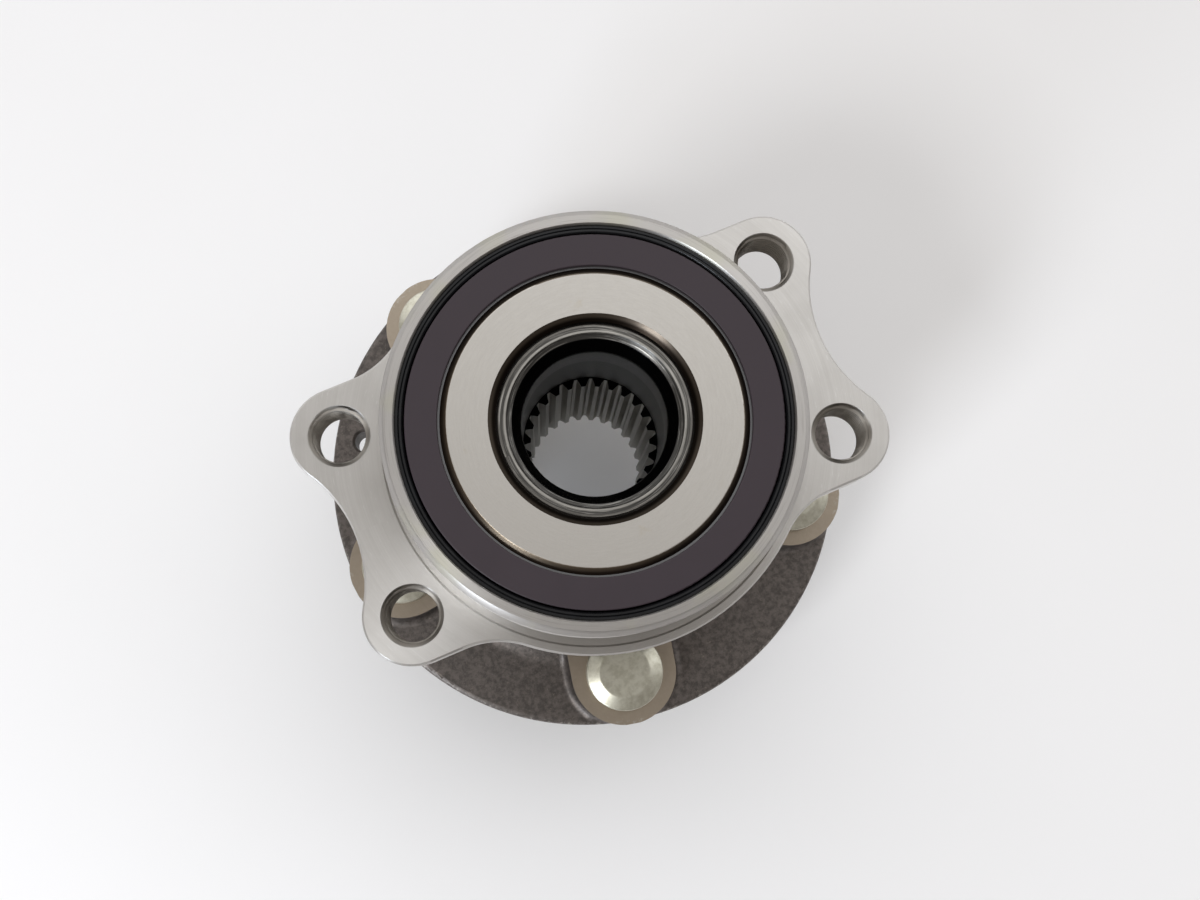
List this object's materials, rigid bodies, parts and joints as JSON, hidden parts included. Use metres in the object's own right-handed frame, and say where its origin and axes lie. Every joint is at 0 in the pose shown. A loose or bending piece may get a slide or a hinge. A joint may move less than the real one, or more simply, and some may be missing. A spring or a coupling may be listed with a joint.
{
  "type": "wheel hub bearing unit",
  "caption": "Driven wheel hub bearing: flanged splined hub with wheel studs, turning on two ball rows in a flanged outer ring that bolts to a steering knuckle",
  "frame": {"origin": "where the spin axis meets the wheel mounting face, at the middle of the stud circle", "axes": "+Z along the spin axis, away from the wheel and towards the drive joint; +X and +Y along the long and short sides of the rectangle of the four tapped ear holes"},
  "size_m": [0.1242, 0.1238, 0.1164],
  "materials": {
    "turned_steel": "forged ring, turned and ground bright on the nose and the ear faces",
    "forged_steel": "scaled forging, turned on the barrel, the pilots and the wheel face",
    "bearing_steel": "hardened and ground, lightly oiled",
    "cage_polymer": "moulded glass-filled polyamide",
    "seal_steel": "pressed sheet",
    "seal_rubber": "moulded nitrile, satin",
    "magnet_rubber": "magnet-filled rubber, smooth",
    "zinc_plated_steel": "zinc plated and yellow passivated"
  },
  "bodies": {
    "knuckle_side": {"outer_ring": "turned_steel", "inboard_seal_case": "seal_steel", "inboard_seal_rubber": "seal_rubber", "outboard_seal_case": "seal_steel", "outboard_seal_rubber": "seal_rubber"},
    "hub_side": {"wheel_hub": "forged_steel", "inner_ring": "bearing_steel", "encoder_slinger": "seal_steel", "encoder_magnet": "magnet_rubber", "wheel_stud_1": "zinc_plated_steel", "wheel_stud_2": "zinc_plated_steel", "wheel_stud_3": "zinc_plated_steel", "wheel_stud_4": "zinc_plated_steel", "wheel_stud_5": "zinc_plated_steel"},
    "inboard_ball_set": {"inboard_cage": "cage_polymer", "inboard_ball_01": "bearing_steel", "inboard_ball_02": "bearing_steel", "inboard_ball_03": "bearing_steel", "inboard_ball_04": "bearing_steel", "inboard_ball_05": "bearing_steel", "inboard_ball_06": "bearing_steel", "inboard_ball_07": "bearing_steel", "inboard_ball_08": "bearing_steel", "inboard_ball_09": "bearing_steel", "inboard_ball_10": "bearing_steel", "inboard_ball_11": "bearing_steel", "inboard_ball_12": "bearing_steel", "inboard_ball_13": "bearing_steel"},
    "outboard_ball_set": {"outboard_cage": "cage_polymer", "outboard_ball_01": "bearing_steel", "outboard_ball_02": "bearing_steel", "outboard_ball_03": "bearing_steel", "outboard_ball_04": "bearing_steel", "outboard_ball_05": "bearing_steel", "outboard_ball_06": "bearing_steel", "outboard_ball_07": "bearing_steel", "outboard_ball_08": "bearing_steel", "outboard_ball_09": "bearing_steel", "outboard_ball_10": "bearing_steel", "outboard_ball_11": "bearing_steel", "outboard_ball_12": "bearing_steel", "outboard_ball_13": "bearing_steel"}
  },
  "joints": [
    {"name": "hub_spin", "type": "hinge", "parent": "knuckle_side", "child": "hub_side", "pos_m": [0, 0, 0], "axis": [0, 0, 1], "continuous": true},
    {"name": "inboard_cage_spin", "type": "hinge", "parent": "knuckle_side", "child": "inboard_ball_set", "pos_m": [0, 0, 0.0699], "axis": [0, 0, 1], "continuous": true},
    {"name": "outboard_cage_spin", "type": "hinge", "parent": "knuckle_side", "child": "outboard_ball_set", "pos_m": [0, 0, 0.0369], "axis": [0, 0, 1], "continuous": true}
  ],
  "couplings": [
    {"joint": "inboard_cage_spin", "follows": "hub_spin", "ratio": 0.4281},
    {"joint": "outboard_cage_spin", "follows": "hub_spin", "ratio": 0.4281}
  ]
}
